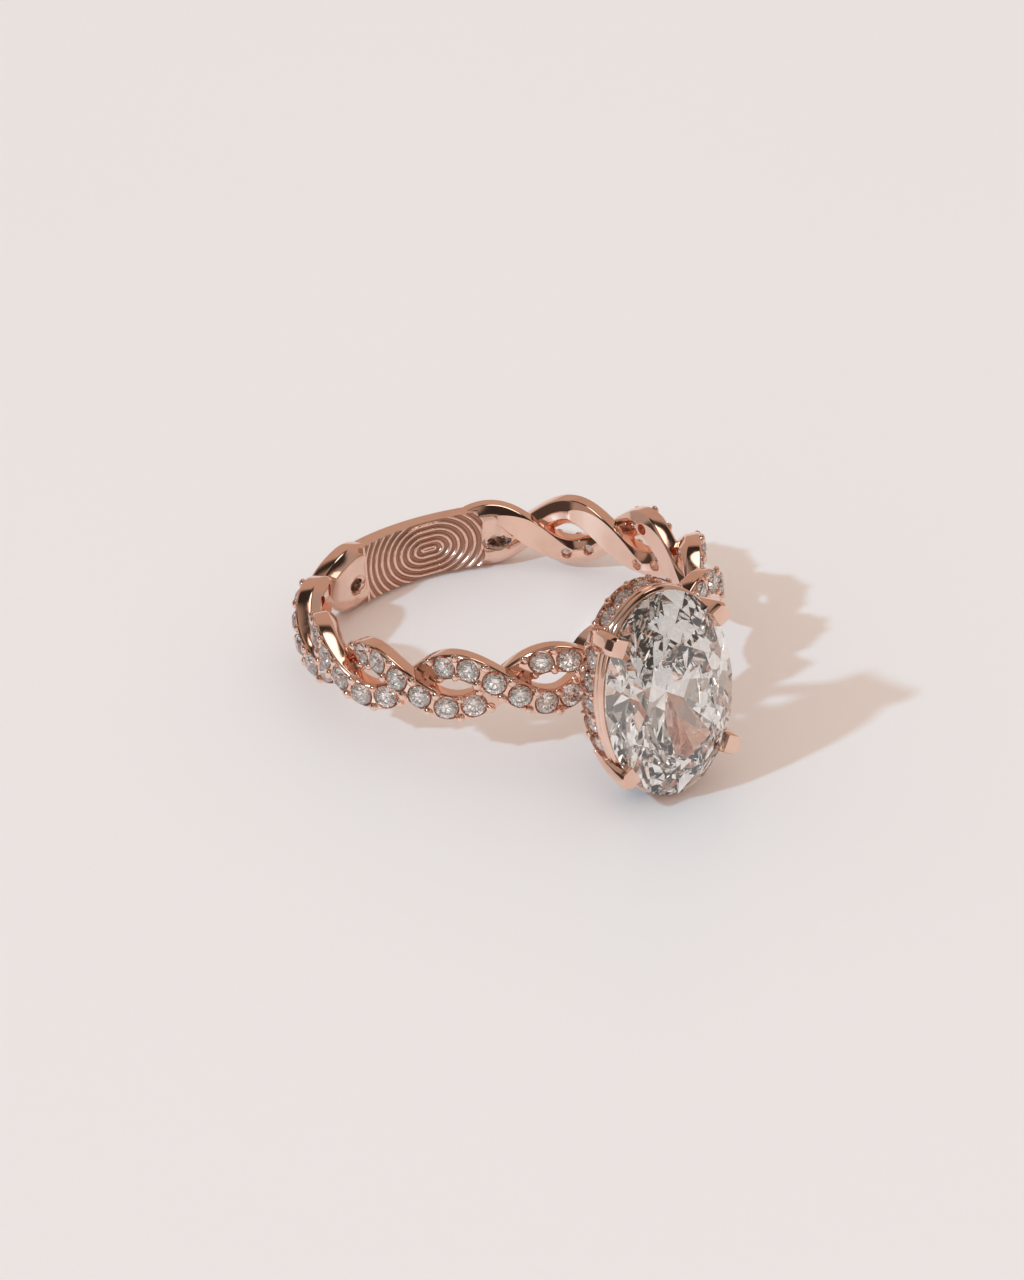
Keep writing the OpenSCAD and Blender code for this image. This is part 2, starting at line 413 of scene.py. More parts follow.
@dataclass
class Twist:
    """Path of the two strands and the places on them."""

    sizes: Sizes = SIZES
    measured: int = 170
    lengths: dict[int, list[Point]] = field(default_factory=dict)

    def __post_init__(self) -> None:
        """Measures both strands every half degree."""
        for side in (1, -1):
            total, table = 0.0, [(0.0, 0.0)]
            for step in range(1, 2 * self.measured + 1):
                a = step / 2
                total += (self.point(a, side) - self.point(a - 0.5, side)).length
                table.append((a, total))
            self.lengths[side] = table

    def lift(self, a: float) -> float:
        """Returns how far a strand rises and falls at an angle."""
        s = self.sizes
        return s.strand_lift * (1 - smooth_step((a - s.last_eye + s.eye_step / 2) / (s.eye_step / 2)))

    def swing(self, a: float) -> float:
        """Tells how far a strand swings across the shank.

        Args:
            a: Angle in degrees.

        Returns:
            The swing to each side, in millimetres.
        """
        s = self.sizes
        wide, tail = (s.twist_w - s.strand_w) / 2, (s.tail_w - s.strand_w) / 2
        return wide + (tail - wide) * smooth_step((a - s.last_eye + s.eye_step) / s.eye_step)

    def point(self, a: float, side: int) -> Vector:
        """Finds the middle of a strand.

        Args:
            a: Angle in degrees.
            side: 1 or -1, for the two strands.

        Returns:
            The point in the ring's own frame.
        """
        s = self.sizes
        turn = math.pi * (a - s.first_eye) / s.eye_step
        r = s.finger_r + s.strand_t / 2 + side * self.lift(a) * math.sin(turn)
        t = math.radians(a)
        return Vector((r * math.cos(t), r * math.sin(t), side * self.swing(a) * math.cos(turn)))

    def place(self, a: float, side: int, rise: float = 0.0, across: float = 0.0) -> Matrix:
        """Finds a place on a strand, with X along it, Y across it and Z out from the finger.

        Args:
            a: Angle in degrees.
            side: 1 or -1, for the two strands.
            rise: Distance out from the strand's middle.
            across: Distance across the strand.

        Returns:
            The matrix of the place.
        """
        along = (self.point(a + 0.5, side) - self.point(a - 0.5, side)).normalized()
        radial = Vector((math.cos(math.radians(a)), math.sin(math.radians(a)), 0))
        out = (radial - radial.dot(along) * along).normalized()
        cross = out.cross(along)
        return matrix_of(along, cross, out, self.point(a, side) + out * rise + cross * across)

    def angle_at(self, side: int, middle: float, steps: float) -> float:
        """Returns the angle of the stone that lies a number of pitches from the middle of a run."""
        start = interpolated(self.lengths[side], middle, 0)
        return interpolated(self.lengths[side], start + steps * self.sizes.shank_pitch, 1)


def interpolated(table: Sequence[Point], value: float, key: int) -> float:
    """Reads a table of pairs, whose both columns rise, between its rows.

    Args:
        table: Rows of two values.
        value: Value looked for in the key column.
        key: Index of the key column.

    Returns:
        The value of the other column.
    """
    for low, high in zip(table, table[1:]):
        if low[key] <= value <= high[key]:
            t = (value - low[key]) / (high[key] - low[key])
            return low[1 - key] + t * (high[1 - key] - low[1 - key])
    return table[0 if value < table[0][key] else -1][1 - key]


@dataclass
class Ornament:
    """Plain ornament of nested ovals, cut into the inner face of the solid back."""

    sizes: Sizes = SIZES
    ends: Point = (-21.9, 24.2)
    half_w: float = 1.37
    depth: float = 0.12
    spacing: float = 0.29
    squash: float = 1.35
    middle: Point = (0.68, 0.26)
    phase: float = 0.2
    gain: float = 1.25
    bias: float = 0.1
    least: float = 0.08
    margin: float = 0.06
    border: float = 0.1
    reach_in: float = 0.4
    reach_out: float = 0.2
    side_gap: float = 0.002
    columns: int = 230
    rows: int = 84

    def cut_at(self, along: float, across: float) -> float:
        """Tells how deep the ornament is cut.

        Args:
            along: Distance round the finger hole from the back's middle.
            across: Distance across the back from its middle.

        Returns:
            The depth in millimetres.
        """
        low, high = (self.sizes.finger_r * math.radians(end) for end in self.ends)
        centre, flat = self.middle
        u, v = max(abs(along - centre) - flat, 0) / self.squash, abs(across)
        wave = 0.5 - 0.5 * math.cos(math.tau * (math.hypot(u, v) / self.spacing - self.phase))
        inside = smooth_step((min(along - low, high - along) - self.margin) / self.border)
        share = smooth_step(wave * self.gain - self.bias) * (1 - self.least) + self.least
        return self.depth * share * inside

    def cutter(self) -> BMesh:
        """Makes the solid whose outer face is the relief.

        Returns:
            A closed solid.
        """
        s = self.sizes
        bm = bmesh.new()
        bmesh.ops.create_grid(bm, x_segments=self.columns, y_segments=self.rows, size=1)
        bottom = bm.faces[:]
        bmesh.ops.recalc_face_normals(bm, faces=bottom)
        back = bmesh.ops.extrude_face_region(bm, geom=bottom)["geom"]
        top = {g for g in back if isinstance(g, BMVert)}
        low, high = self.ends
        for v in bm.verts:
            turn, z = low + (high - low) * (v.co.x + 1) / 2, v.co.y * self.half_w
            deep = -self.reach_in if v in top else self.cut_at(s.finger_r * math.radians(turn), z)
            t = math.radians(180 - turn)
            r = s.finger_r + deep
            v.co = Vector((r * math.cos(t), r * math.sin(t), z))
        if bm.calc_volume(signed=True) < 0:
            bmesh.ops.reverse_faces(bm, faces=bm.faces)
        return bm

    def holds(self, centre: Vector) -> bool:
        """Tells whether a face belongs to the relief.

        Args:
            centre: Middle of the face.

        Returns:
            True where the face is cut by the ornament.
        """
        turn, r = math.degrees(math.atan2(centre.y, -centre.x)), math.hypot(centre.x, centre.y)
        inside = r < self.sizes.finger_r + self.reach_out and self.ends[0] < turn < self.ends[1]
        return inside and abs(centre.z) < self.sizes.back_w / 2 - self.side_gap


@dataclass
class Shank:
    """The twisted strands, the solid back and the places of the shank's stones and beads."""

    twist: Twist
    sizes: Sizes = SIZES
    samples: int = 22
    back_steps: int = 48
    corner: float = 0.09
    ease: float = 0.12
    bead_r: float = 0.2
    bead_across: float = 0.45
    pit_places: tuple[tuple[float, float, float], ...] = ((151.4, -0.3, 1.25), (-152.8, -0.25, 1.0))
    pit_size: Triple = (0.4, 0.46, 0.25)
    pit_rough: float = 0.3
    pit_reach: Point = (0.3, 1.35)
    pit_out: float = 0.08
    lip_size: Triple = (0.13, 0.66, 0.42)
    lip_rough: float = 0.12
    lumps: float = 1.7
    strand_into_back: float = 7.5
    web_start: float = 0.44
    web_into_back: float = 2.0
    web_clear: float = 0.02
    web_least: float = 0.3
    full_runs: int = 4
    run_offsets: tuple[float, ...] = (-2.5, -1.5, -0.5, 0.5, 1.5, 2.5)
    head_offsets: tuple[float, ...] = (1.5, 2.5)
    stroke_across: float = 0.36
    stroke_drift: float = 0.13
    stroke_turn: float = 0.6
    stroke_size: Triple = (0.9, 0.6, 1.0)
    end_stroke: float = 0.95
    end_stroke_size: Triple = (1.1, 0.8, 1.0)

    def strand(self, side: int) -> BMesh:
        """Makes one strand of the first half.

        Args:
            side: 1 or -1, for the two strands.

        Returns:
            A closed solid.
        """
        s = self.sizes
        w, t, i, o = s.strand_w / 2, s.strand_t / 2, s.inner_bevel + self.ease, s.outer_bevel
        section = rounded(
            [
                (-w + o, t), (w - o, t), (w, t - o), (w, -t + i),
                (w - i, -t), (-w + i, -t), (-w, -t + i), (-w, t - o),
            ],
            self.corner,
        )
        step = s.eye_step / self.samples
        count = int((s.last_eye + self.strand_into_back) / step)
        return sweep(section, [self.twist.place(k * step, side) for k in range(count + 1)])

    def back(self) -> BMesh:
        """Makes the solid back.

        Returns:
            A closed solid.
        """
        s = self.sizes
        w, o, low, high = s.back_w / 2, 2 * s.outer_bevel, s.finger_r - s.bore_cut, s.finger_r + s.back_t
        profile = rounded(
            [(low, -w), (high - o, -w), (high, -w + o), (high, w - o), (high - o, w), (low, w)], self.corner
        )
        return spun(profile, 180 - s.back_half, 2 * s.back_half, self.back_steps)

    def web(self) -> BMesh:
        """Makes the plate that closes the last opening, level with the strand that runs below.

        Returns:
            A closed solid.
        """
        s = self.sizes
        start, end = s.last_eye - s.eye_step * self.web_start, 180 - s.back_half + self.web_into_back
        high, up = s.finger_r + s.strand_t - s.inner_bevel, Vector((0, 0, 1))
        places = []
        for k in range(self.samples):
            a = start + (end - start) * k / (self.samples - 1)
            strand = self.twist.point(a, 1)
            low = s.finger_r + self.web_clear + abs(strand.xy.length - s.finger_r - s.strand_t / 2)
            radial = Vector((math.cos(math.radians(a)), math.sin(math.radians(a)), 0))
            wide = max(self.web_least, abs(strand.z))
            middle, thick = radial * (high + low) / 2, radial * (high - low) / 2
            places.append(matrix_of(up.cross(radial), up * wide, thick, middle))
        return sweep([(-1, -1), (1, -1), (1, 1), (-1, 1)], places)

    def pits(self) -> list[BMesh]:
        """Makes the cutters for the rough pits that the casting left in the closed openings.

        Returns:
            A closed solid for each pit and for the lip round it.
        """
        parts = []
        for turn, across, length in self.pit_places:
            place = Matrix.Rotation(math.radians(turn), 4, "Z") @ Matrix.Translation(
                (self.sizes.finger_r, 0, across)
            ) @ Matrix.Diagonal((1, length, 1, 1))
            for size, rough in ((self.lip_size, self.lip_rough), (self.pit_size, self.pit_rough)):
                pit = bmesh.new()
                bmesh.ops.create_icosphere(pit, subdivisions=4, radius=1)
                for v in pit.verts:
                    v.co *= 1 + rough * noise.noise(v.co * self.lumps + Vector((turn, 0, 0)))
                bmesh.ops.transform(pit, matrix=place @ Matrix.Diagonal((*size, 1)), verts=pit.verts)
                parts.append(pit)
        return parts

    def in_pit(self, corner: Vector) -> bool:
        """Tells whether a corner of a face belongs to a pit.

        Args:
            corner: Place of the corner.

        Returns:
            True where it lies in the rough part of a pit.
        """
        r, (least, most) = self.sizes.finger_r, self.pit_reach
        for turn, across, length in self.pit_places:
            near = Matrix.Rotation(-math.radians(turn), 3, "Z") @ corner - Vector((r, 0, across))
            near.y /= length
            share = Vector(n / size for n, size in zip(near, self.pit_size)).length
            if least < share < most and near.x > self.pit_out:
                return True
        return False

    def runs(self) -> list[tuple[int, float, Sequence[float]]]:
        """Lists the runs of stones on the first half.

        Returns:
            The side, the middle angle and the offsets in pitches of each run.
        """
        s = self.sizes
        runs = [(-1, s.first_eye - s.eye_step / 2, self.head_offsets)]
        for k in range(self.full_runs):
            runs.append((1 if k % 2 == 0 else -1, s.first_eye + (k + 0.5) * s.eye_step, self.run_offsets))
        return runs

    @staticmethod
    def gaps(offsets: Sequence[float]) -> list[float]:
        """Returns the offsets of the gaps before, between and after the stones of a run."""
        return [o - 0.5 for o in offsets] + [offsets[-1] + 0.5]

    @staticmethod
    def both_halves(first: Sequence[Matrix]) -> list[Matrix]:
        """Returns the places on the first half and the same places on the second."""
        return [half.matrix() @ p for half in Half for p in first]

    def stone_places(self) -> list[Matrix]:
        """Finds all the stones of the shank.

        Returns:
            The places, with Z out of the setting.
        """
        rise = self.sizes.strand_t / 2
        return self.both_halves([
            self.twist.place(self.twist.angle_at(side, middle, n), side, rise)
            for side, middle, offsets in self.runs()
            for n in offsets
        ])

    def bead_places(self) -> list[Matrix]:
        """Finds the beads that hold the stones, two between each pair and at each end.

        Returns:
            The places of the beads.
        """
        rise = self.sizes.strand_t / 2
        first = []
        for side, middle, offsets in self.runs():
            for n in self.gaps(offsets):
                a = self.twist.angle_at(side, middle, n)
                first += [self.twist.place(a, side, rise, y) for y in (-self.bead_across, self.bead_across)]
        return self.both_halves(first)

    def graver_places(self) -> list[Matrix]:
        """Finds the graver's strokes, beside the beads and at the ends of the runs.

        The sines drift and turn the strokes, and their rates are chosen so that no two are alike.

        Returns:
            The places of the strokes.
        """
        rise = self.sizes.strand_t / 2
        first = []
        for side, middle, offsets in self.runs():
            for k, n in enumerate(self.gaps(offsets)):
                for y in (-self.stroke_across, self.stroke_across):
                    along = n + self.stroke_drift * math.sin(5.1 * k + 9 * y)
                    turn = Matrix.Rotation(self.stroke_turn * math.sin(3.7 * k + 5 * y), 4, "Z")
                    place = self.twist.place(self.twist.angle_at(side, middle, along), side, rise, y)
                    first.append(place @ turn @ Matrix.Diagonal((*self.stroke_size, 1)))
            for n in (offsets[0] - self.end_stroke, offsets[-1] + self.end_stroke):
                place = self.twist.place(self.twist.angle_at(side, middle, n), side, rise)
                first.append(place @ Matrix.Diagonal((*self.end_stroke_size, 1)))
        return self.both_halves(first)


# Head


@dataclass
class Head:
    """The basket: rail, halo band, claws and base, and the places of the halo's stones."""

    sizes: Sizes = SIZES
    steps: int = 120
    base_sides: int = 48
    stones_per_arc: int = 5
    bead_r: float = 0.15
    bead_out: float = 0.02
    bead_shift: float = 0.42
    groove: float = 0.05
    step_in: float = 0.13
    step_up: float = 0.14
    rail_corner: float = 0.04
    band_corner: float = 0.05
    claw_corner: float = 0.08
    claw_inner: float = 0.5
    claw_ridge: float = 0.55
    # Height from the base (1 at the girdle, 2 at the tip), distance out, width and depth, as shares
    claw_sections: tuple[tuple[float, float, float, float], ...] = (
        (0.0, 0.3, 0.8, 0.8), (0.2, 0.47, 0.85, 0.85), (0.35, 0.62, 0.9, 0.9), (0.5, 0.79, 0.95, 0.95),
        (0.62, 0.93, 1.0, 1.0), (0.8, 1.0, 1.0, 1.0), (1.0, 1.04, 1.0, 1.0), (1.7, 1.05, 0.92, 0.9),
        (2.0, 1.045, 0.8, 0.75),
    )

    def point(self, a: float, grow: float, x: float) -> Vector:
        """Returns the point on the oval grown from the girdle, at a height along the head."""
        s, t = self.sizes, math.radians(a)
        return Vector((x, (s.stone_w / 2 + grow) * math.cos(t), (s.stone_l / 2 + grow) * math.sin(t)))

    def outward(self, a: float) -> Vector:
        """Returns the direction out from the oval."""
        s, t = self.sizes, math.radians(a)
        return Vector((0, math.cos(t) / s.stone_w, math.sin(t) / s.stone_l)).normalized()

    def hoop(self, section: Sequence[Point], grow: float, x: float) -> BMesh:
        """Makes a closed oval hoop.

        Args:
            section: Points as distance outward and upward.
            grow: How far the hoop lies outside the girdle.
            x: Height along the head.

        Returns:
            A closed solid.
        """
        up = Vector((1, 0, 0))
        places = []
        for k in range(self.steps):
            a = 360 * k / self.steps
            n = self.outward(a)
            places.append(matrix_of(n.cross(up), n, up, self.point(a, grow, x)))
        return sweep(section, places, closed=True)

    def rail(self) -> BMesh:
        """Makes the polished rail under the girdle, with a fine groove round it.

        Returns:
            A closed solid.
        """
        s = self.sizes
        h, t, g, top = s.rail_h / 2, s.rail_t, self.groove, s.rail_h / 2 + self.step_up
        section = [(-t, -h), (0, -h), (0, -g), (-g, 0), (0, g), (0, h), (-self.step_in, top), (-t, top)]
        return self.hoop(rounded(section, self.rail_corner), s.rail_grow, s.rail_x)

    def band(self) -> BMesh:
        """Makes the band that holds the halo's stones.

        Returns:
            A closed solid.
        """
        s = self.sizes
        h, t = s.band_h / 2, s.band_t
        section = rounded([(-t, -h), (0, -h), (0, h), (-t, h)], self.band_corner)
        return self.hoop(section, s.band_grow, s.band_x)

    def claw(self, sy: int, sz: int) -> BMesh:
        """Makes one claw, from the base up over the girdle.

        Args:
            sy: 1 or -1, the side in Y.
            sz: 1 or -1, the side in Z.

        Returns:
            A closed solid.
        """
        s = self.sizes
        base_x = s.finger_r + s.strand_t / 2
        rise = s.girdle_x - base_x
        flat = self.outward(s.claw_turn)
        n = Vector((0, sy * flat.y, sz * flat.z))
        up = Vector((1, 0, 0))
        side = n.cross(up)
        p0 = self.point(s.claw_turn, 0, 0)
        w, d = s.claw_w / 2, s.claw_d / 2
        inner, ridge = d * self.claw_inner, w * self.claw_ridge
        corners = [(-w, -d), (-w, inner), (-ridge, d), (ridge, d), (w, inner), (w, -d)]
        section = rounded(corners, self.claw_corner)
        places = []
        for height, share, wide, deep in self.claw_sections:
            x = base_x + rise * min(height, 1) + s.claw_rise * max(height - 1, 0)
            centre = Vector((x, sy * p0.y * share, sz * p0.z * share))
            places.append(matrix_of(up, side * wide, n * deep, centre))
        return sweep(section, places)

    def base(self) -> BMesh:
        """Makes the cone that joins the basket to the shank.

        Returns:
            A closed solid.
        """
        s = self.sizes
        bm = bmesh.new()
        height, r = s.strand_t + s.base_rise, s.base_d / 2
        bmesh.ops.create_cone(
            bm, cap_ends=True, segments=self.base_sides, radius1=r + s.base_flare / 2, radius2=r, depth=height
        )
        middle = Matrix.Translation((s.finger_r - s.bore_cut + height / 2, 0, 0))
        bmesh.ops.transform(bm, matrix=middle @ Matrix.Rotation(math.pi / 2, 4, "Y"), verts=bm.verts)
        return bm

    def _lengths(self) -> list[Point]:
        """Measures the oval, degree by degree.

        Returns:
            Pairs of angle and length.
        """
        total, table = 0.0, [(-180.0, 0.0)]
        for step in range(1, 361):
            a = -180 + step
            total += (self.point(a, 0, 0) - self.point(a - 1, 0, 0)).length
            table.append((a, total))
        return table

    def arc(self, low: float, high: float, shares: Sequence[float]) -> list[float]:
        """Divides the oval's length between two claws.

        Args:
            low: Angle of the first claw.
            high: Angle of the second claw.
            shares: Shares of the length between them.

        Returns:
            The angle at each share.
        """
        table, w = self._lengths(), self.sizes.claw_w / 2
        l0 = interpolated(table, low, 0) + w
        l1 = interpolated(table, high, 0) - w
        return [interpolated(table, l0 + (l1 - l0) * t, 1) for t in shares]

    def angles(self, shares: Sequence[float]) -> list[float]:
        """Divides each of the four arcs between the claws.

        Args:
            shares: Shares of an arc's length.

        Returns:
            The angle at each share of each arc.
        """
        turn = self.sizes.claw_turn
        sides, ends = self.arc(-turn, turn, shares), self.arc(turn, 180 - turn, shares)
        return sides + ends + [a + 180 for a in sides] + [a + 180 for a in ends]

    def place(self, a: float, sink: float, shift: float = 0.0) -> Matrix:
        """Finds a place on the band's outer face, with Z out from the oval and X along the head.

        Args:
            a: Angle round the oval.
            sink: Distance into the band.
            shift: Distance along the head from the band's middle.

        Returns:
            The matrix of the place.
        """
        s, n, up = self.sizes, self.outward(a), Vector((1, 0, 0))
        origin = self.point(a, s.band_grow, s.band_x) - sink * n + shift * up
        return matrix_of(up, n.cross(up), n, origin)

    def stone_places(self, sink: float = 0.2) -> list[Matrix]:
        """Returns the places of the halo's stones."""
        n = self.stones_per_arc
        return [self.place(a, sink) for a in self.angles([(i + 0.5) / n for i in range(n)])]

    def bead_places(self) -> list[Matrix]:
        """Finds the beads between the halo's stones.

        Returns:
            The places of the beads.
        """
        n = self.stones_per_arc
        return [
            self.place(a, -self.bead_out, shift)
            for a in self.angles([i / n for i in range(n + 1)])
            for shift in (-self.bead_shift, self.bead_shift)
        ]


# Stones


@dataclass(frozen=True)
class Cut:
    """Brilliant cut, as shares of half the stone's width, with one plane for each of its facets."""

    table: float = 0.57
    kite: float = 0.8
    lower: float = 0.24
    crown: float = 0.31
    pavilion: float = 0.86
    girdle: float = 0.05
    bar: float = 3.0

    @staticmethod
    def at(share: float, turn: float, z: float) -> Vector:
        """Returns the corner at a share of the half width and a height."""
        t = math.radians(turn)
        return Vector((share * math.cos(t), share * math.sin(t), z))

    def facets(self) -> Iterator[tuple[Vector, Vector, Vector]]:
        """Goes through the table and the eight like parts of the crown and pavilion.

        Yields:
            Three corners of each facet.
        """
        turn, half = 45, 22.5
        at, c = self.at, math.cos(math.radians(half))
        upper = self.crown * (1 - self.kite * c) / (1 - self.table)
        low = -self.girdle - self.pavilion * (1 - self.lower * c)
        culet = Vector((0, 0, -self.girdle - self.pavilion))
        yield at(self.table, 0, self.crown), at(self.table, 90, self.crown), at(self.table, 180, self.crown)
        for a in range(0, 360, turn):
            tip, kite = at(self.table, a, self.crown), at(self.kite, a + half, upper)
            yield tip, at(self.kite, a - half, upper), kite
            yield tip, at(self.table, a + turn, self.crown), kite
            yield kite, at(1, a, 0), at(1, a + half, 0)
            yield kite, at(1, a + half, 0), at(1, a + turn, 0)
            deep = at(self.lower, a + half, low)
            yield culet, at(self.lower, a - half, low), deep
            yield deep, at(1, a, -self.girdle), at(1, a + half, -self.girdle)
            yield deep, at(1, a + half, -self.girdle), at(1, a + turn, -self.girdle)

    def solid(self, rx: float, ry: float, sides: int, grow: float = 0.0) -> BMesh:
        """Cuts a stone out of a round bar, facet by facet, with its table towards +Z.

        Args:
            rx: Half width along X.
            ry: Half width along Y.
            sides: Number of sides of the girdle.
            grow: How much larger it is all round, for a seat.

        Returns:
            A closed solid whose flat facets are single faces.
        """
        h = min(rx, ry)
        g = grow / h
        bm = bmesh.new()
        bmesh.ops.create_cone(bm, cap_ends=True, segments=sides, radius1=1 + g, radius2=1 + g, depth=self.bar)
        for a, b, c in self.facets():
            n = (b - a).cross(c - a).normalized()
            n *= math.copysign(1, n.dot(a))
            geom = bm.verts[:] + bm.edges[:] + bm.faces[:]
            bmesh.ops.bisect_plane(bm, geom=geom, plane_co=a + n * g, plane_no=n, clear_outer=True)
            bmesh.ops.holes_fill(bm, edges=[e for e in bm.edges if e.is_boundary])
        bmesh.ops.scale(bm, vec=(rx, ry, h), verts=bm.verts)
        bmesh.ops.recalc_face_normals(bm, faces=bm.faces)
        return bm


# Materials


class Nodes:
    """Node tree, with short ways to add the nodes that the finishes and the surroundings share."""

    def __init__(self, tree: bpy.types.NodeTree) -> None:
        """Keeps the tree."""
        self.tree = tree

    def add(self, kind: str, wires: Wires, values: Values, **settings: str) -> bpy.types.Node:
        """Adds a node.

        Args:
            kind: Type of the node.
            wires: Sockets that feed its inputs.
            values: Constants of its inputs.
            settings: Its other properties, set first because they choose the inputs.

        Returns:
            The node.
        """
        node = self.tree.nodes.new(kind)
        for name, setting in settings.items():
            setattr(node, name, setting)
        for key, value in values.items():
            node.inputs[key].default_value = value
        for key, socket in wires.items():
            self.tree.links.new(socket, node.inputs[key])
        return node

    def spread(
        self, value: Socket, source: Point = (0.0, 1.0), target: Point = (0.0, 1.0), kind: str = "LINEAR"
    ) -> Socket:
        """Maps a value from one range to another.

        Args:
            value: Socket of the value.
            source: Range that it has.
            target: Range that it gets.
            kind: How it is interpolated.

        Returns:
            The socket of the result.
        """
        (a, b), (c, d) = source, target
        limits = {"From Min": a, "From Max": b, "To Min": c, "To Max": d}
        node = self.add("ShaderNodeMapRange", {"Value": value}, limits, interpolation_type=kind)
        return node.outputs["Result"]

    def mix(self, share: Socket, shown: Socket, colour: Colour) -> Socket:
        """Returns the socket of a colour that a share of another colour covers."""
        wires = {"Factor": share, "A": shown}
        return self.add("ShaderNodeMix", wires, {"B": (*colour, 1)}, data_type="RGBA").outputs["Result"]


class Paint(Nodes):
    """Node tree of a new material."""

    def __init__(self, name: str, constants: Values) -> None:
        """Makes the material.

        Args:
            name: Name of the material.
            constants: Constants of its shader.
        """
        self.material = bpy.data.materials.new(name)
        self.material.use_nodes = True
        super().__init__(self.material.node_tree)
        self.shader = self.tree.nodes["Principled BSDF"]
        for key, value in constants.items():
            self.shader.inputs[key].default_value = value
        self.place = self.add("ShaderNodeTexCoord", {}, {}).outputs["Object"]

    def feed(self, name: str, socket: Socket) -> None:
        """Links a socket to an input of the shader."""
        self.tree.links.new(socket, self.shader.inputs[name])

    def noise(self, scale: float, detail: float = 2.0) -> Socket:
        """Returns the value of a noise over the object."""
        values = {"Scale": scale, "Detail": detail}
        return self.add("ShaderNodeTexNoise", {"Vector": self.place}, values).outputs["Fac"]

    def tone(self, value: Socket, low: Colour, high: Colour, ends: Point = (0.0, 1.0)) -> None:
        """Feeds a blend of two colours to the shader.

        Args:
            value: Socket that chooses between them.
            low: Colour below the first end.
            high: Colour above the second end.
            ends: Values where the blend starts and ends.
        """
        node = self.add("ShaderNodeValToRGB", {"Fac": value}, {})
        for index, colour in enumerate((low, high)):
            node.color_ramp.elements[index].color = (*colour, 1)
            node.color_ramp.elements[index].position = ends[index]
        self.feed("Base Color", node.outputs["Color"])

    def bump(self, height: Socket, strength: float, distance: float) -> None:
        """Feeds a bump to the shader's normal."""
        node = self.add("ShaderNodeBump", {"Height": height}, {"Strength": strength, "Distance": distance})
        self.feed("Normal", node.outputs["Normal"])


@dataclass(frozen=True)
class GoldFinish:
    """Rose gold, with fine wear and a polished surface."""

    colour: Colour = (0.94, 0.66, 0.54)
    deep: Colour = (0.88, 0.58, 0.46)
    blend: Point = (0.3, 0.55)
    roughness: float = 0.06
    wear: float = 0.06
    worn: Point = (0.3, 0.7)
    grain: float = 900.0
    detail: float = 4.0
    finer: float = 6.0
    strength: float = 0.05
    relief: float = 0.00002

    def material(self, name: str) -> bpy.types.Material:
        """Makes the node material.

        Args:
            name: Name of the material.

        Returns:
            The material.
        """
        paint = Paint(name, {"Metallic": 1.0})
        cloud = paint.noise(self.grain, self.detail)
        paint.tone(cloud, self.deep, self.colour, self.blend)
        limits = (self.roughness, self.roughness + self.wear)
        paint.feed("Roughness", paint.spread(cloud, self.worn, limits))
        paint.bump(paint.noise(self.grain * self.finer), self.strength, self.relief)
        return paint.material


@dataclass(frozen=True)
class EngravingWithPaintedShade:
    """Rose gold that darkens with its distance from the finger hole: painted shade in the engraving's cuts.
    """

    ridge: Colour = (0.94, 0.66, 0.54)
    # Painted shade: the colour that the deepest faces of the cuts get
    groove: Colour = (0.62, 0.36, 0.27)
    blend: Point = (0.5, 1.0)
    depth: float = 0.12
    shares: Point = (0.15, 0.8)
    grain: float = 9000.0
    detail: float = 3.0
    unevenness: float = 0.9
    roughness: Point = (0.16, 0.6)
    strength: float = 0.35
    relief: float = 0.00002

    def material(self, name: str) -> bpy.types.Material:
        """Makes the node material, which measures the depth from the hole's axis and paints shade into the
        cuts by it.

        Args:
            name: Name of the material.

        Returns:
            The material.
        """
        s = SIZES
        paint = Paint(name, {"Metallic": 1.0})
        tip = {"Location": (-s.middle_x * MM, 0, -s.floor_z * MM), "Rotation": (0, -math.radians(s.tilt), 0)}
        back = paint.add("ShaderNodeMapping", {"Vector": paint.place}, tip, vector_type="TEXTURE")
        across = {1: (1 / MM, 1 / MM, 0)}
        flat = paint.add("ShaderNodeVectorMath", {0: back.outputs["Vector"]}, across, operation="MULTIPLY")
        reach = paint.add("ShaderNodeVectorMath", {0: flat.outputs["Vector"]}, {}, operation="LENGTH")
        low, high = (s.finger_r + self.depth * share for share in self.shares)
        deep = paint.spread(reach.outputs["Value"], (low, high))
        grit = paint.noise(self.grain, self.detail)
        share = {1: self.unevenness}
        uneven = paint.add("ShaderNodeMath", {0: grit, 2: deep}, share, operation="MULTIPLY_ADD")
        # Painted shade: the deeper a face lies in the cuts, the more of the groove colour it gets, with
        # random grit on top
        paint.tone(uneven.outputs["Value"], self.ridge, self.groove, self.blend)
        paint.feed("Roughness", paint.spread(deep, target=self.roughness))
        paint.bump(grit, self.strength, self.relief)
        return paint.material


@dataclass(frozen=True)
class CastFinish:
    """Raw casting skin in the pits, blotched brown."""

    skin: Colour = (0.8, 0.5, 0.38)
    blotch: Colour = (0.26, 0.16, 0.12)
    blend: Point = (0.47, 0.6)
    roughness: float = 0.45
    grain: float = 5200.0
    detail: float = 5.0
    strength: float = 0.8
    relief: float = 0.00006

    def material(self, name: str) -> bpy.types.Material:
        """Makes the node material.

        Args:
            name: Name of the material.

        Returns:
            The material.
        """
        paint = Paint(name, {"Metallic": 1.0, "Roughness": self.roughness})
        cells = paint.noise(self.grain, self.detail)
        paint.tone(cells, self.blotch, self.skin, self.blend)
        paint.bump(cells, self.strength, self.relief)
        return paint.material


